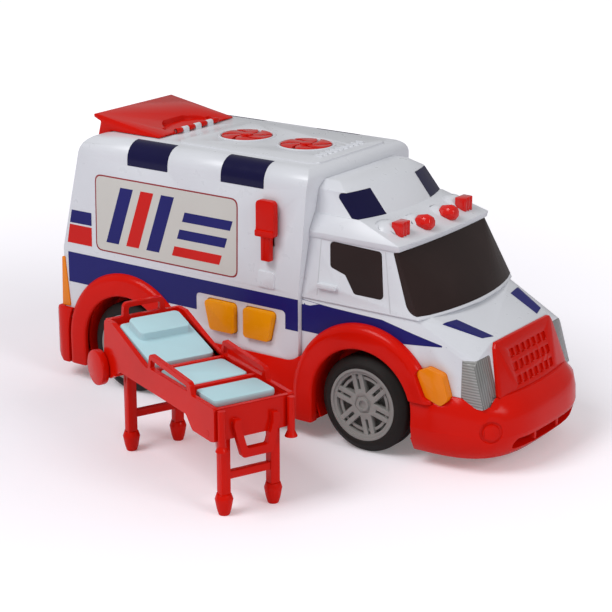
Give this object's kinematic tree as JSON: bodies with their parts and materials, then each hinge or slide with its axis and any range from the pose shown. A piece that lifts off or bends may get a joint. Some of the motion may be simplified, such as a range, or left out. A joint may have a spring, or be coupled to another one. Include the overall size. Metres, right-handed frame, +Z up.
{
  "type": "toy ambulance",
  "caption": "Toy ambulance van with rolling wheels, lift-up tailgate, sliding side lever, push buttons and a loose folding-leg stretcher.",
  "frame": {"origin": "on the ground, at the middle of the car's length and width", "axes": "+X to the car's front, +Y to its left, +Z up"},
  "size_m": [0.331, 0.2435, 0.17],
  "materials": {
    "white_shell": "satin moulded",
    "red_plastic": "satin moulded",
    "lamp_lens": "clear grey",
    "orange_lens": "clear orange",
    "dark_pane": "polished",
    "navy_pane": "polished",
    "red_lens": "clear red",
    "amber_plastic": "satin moulded",
    "steel": "drawn",
    "board": "matte",
    "battery_case": "satin",
    "black_plastic": "matte",
    "rim_grey": "satin grey",
    "tyre": "matte",
    "pad_plastic": "satin moulded"
  },
  "bodies": {
    "vehicle": {"cargo_box": "white_shell", "cab_shell": "white_shell", "side_frame_left": "red_plastic", "side_frame_right": "red_plastic", "rear_bumper": "red_plastic", "chassis": "red_plastic", "front_bumper": "red_plastic", "grille": "red_plastic", "headlamp_left": "lamp_lens", "headlamp_right": "lamp_lens", "indicator_left": "orange_lens", "indicator_right": "orange_lens", "rear_lamp_left": "orange_lens", "rear_lamp_right": "orange_lens", "windscreen": "dark_pane", "door_window_left": "dark_pane", "door_window_right": "dark_pane", "roof_window_rear_left": "navy_pane", "roof_window_rear_right": "navy_pane", "roof_window_front_left": "navy_pane", "roof_window_front_right": "navy_pane", "forehead_window_left": "navy_pane", "forehead_window_right": "navy_pane", "beacon_outer_left": "red_lens", "beacon_inner_left": "red_lens", "beacon_inner_right": "red_lens", "beacon_outer_right": "red_lens", "roof_fan_rear": "red_plastic", "roof_fan_front": "red_plastic", "tailgate_pin": "steel", "switch_board": "board", "battery_cover": "red_plastic", "batteries": "battery_case", "cover_screws": "steel", "speaker": "black_plastic", "circuit_board": "board", "cargo_floor": "white_shell"},
    "front_wheels": {"front_axle": "steel", "rim_front_left": "rim_grey", "rim_front_right": "rim_grey", "tyre_front_left": "tyre", "tyre_front_right": "tyre"},
    "rear_wheels": {"rear_axle": "steel", "rim_rear_left": "rim_grey", "rim_rear_right": "rim_grey", "tyre_rear_left": "tyre", "tyre_rear_right": "tyre"},
    "tailgate": {"tailgate": "red_plastic"},
    "side_lever": {"side_lever": "red_plastic"},
    "siren_button": {"siren_button": "amber_plastic"},
    "light_button": {"light_button": "amber_plastic"},
    "stretcher": {"stretcher_bed": "red_plastic", "head_pad": "pad_plastic", "middle_pad": "pad_plastic", "foot_pad": "pad_plastic", "head_leg_pin": "red_plastic", "foot_leg_pin": "red_plastic"},
    "head_legs": {"head_legs": "red_plastic"},
    "foot_legs": {"foot_legs": "red_plastic"},
    "head_rollers": {"head_rollers": "red_plastic"}
  },
  "joints": [
    {"name": "front_wheels_spin", "type": "hinge", "parent": "vehicle", "child": "front_wheels", "pos_m": [0.0725, 0, 0.029], "axis": [0, 1, 0], "continuous": true},
    {"name": "rear_wheels_spin", "type": "hinge", "parent": "vehicle", "child": "rear_wheels", "pos_m": [-0.102, 0, 0.029], "axis": [0, 1, 0], "continuous": true},
    {"name": "tailgate_lift", "type": "hinge", "parent": "vehicle", "child": "tailgate", "pos_m": [-0.0895, 0, 0.1621], "axis": [0, 1, 0], "range_deg": [0, 80]},
    {"name": "lever_slide", "type": "slide", "parent": "vehicle", "child": "side_lever", "axis": [0, 0, -1], "range_m": [0, 0.006]},
    {"name": "siren_button_press", "type": "slide", "parent": "vehicle", "child": "siren_button", "axis": [0, 1, 0], "range_m": [0, 0.002], "stiffness_N_per_m": 300},
    {"name": "light_button_press", "type": "slide", "parent": "vehicle", "child": "light_button", "axis": [0, 1, 0], "range_m": [0, 0.002], "stiffness_N_per_m": 300},
    {"name": "stretcher_lift", "type": "slide", "parent": "vehicle", "child": "stretcher", "axis": [0, 0, 1], "range_m": [0, 0.12]},
    {"name": "head_legs_fold", "type": "hinge", "parent": "stretcher", "child": "head_legs", "pos_m": [-0.03238, -0.11557, 0.048], "axis": [-0.3875, -0.9219, 0], "range_deg": [0, 90]},
    {"name": "foot_legs_fold", "type": "hinge", "parent": "stretcher", "child": "foot_legs", "pos_m": [0.06718, -0.15743, 0.048], "axis": [0.3875, 0.9219, 0], "range_deg": [0, 90]},
    {"name": "head_rollers_spin", "type": "hinge", "parent": "stretcher", "child": "head_rollers", "pos_m": [-0.04713, -0.10937, 0.048], "axis": [0.3875, 0.9219, 0], "continuous": true}
  ]
}
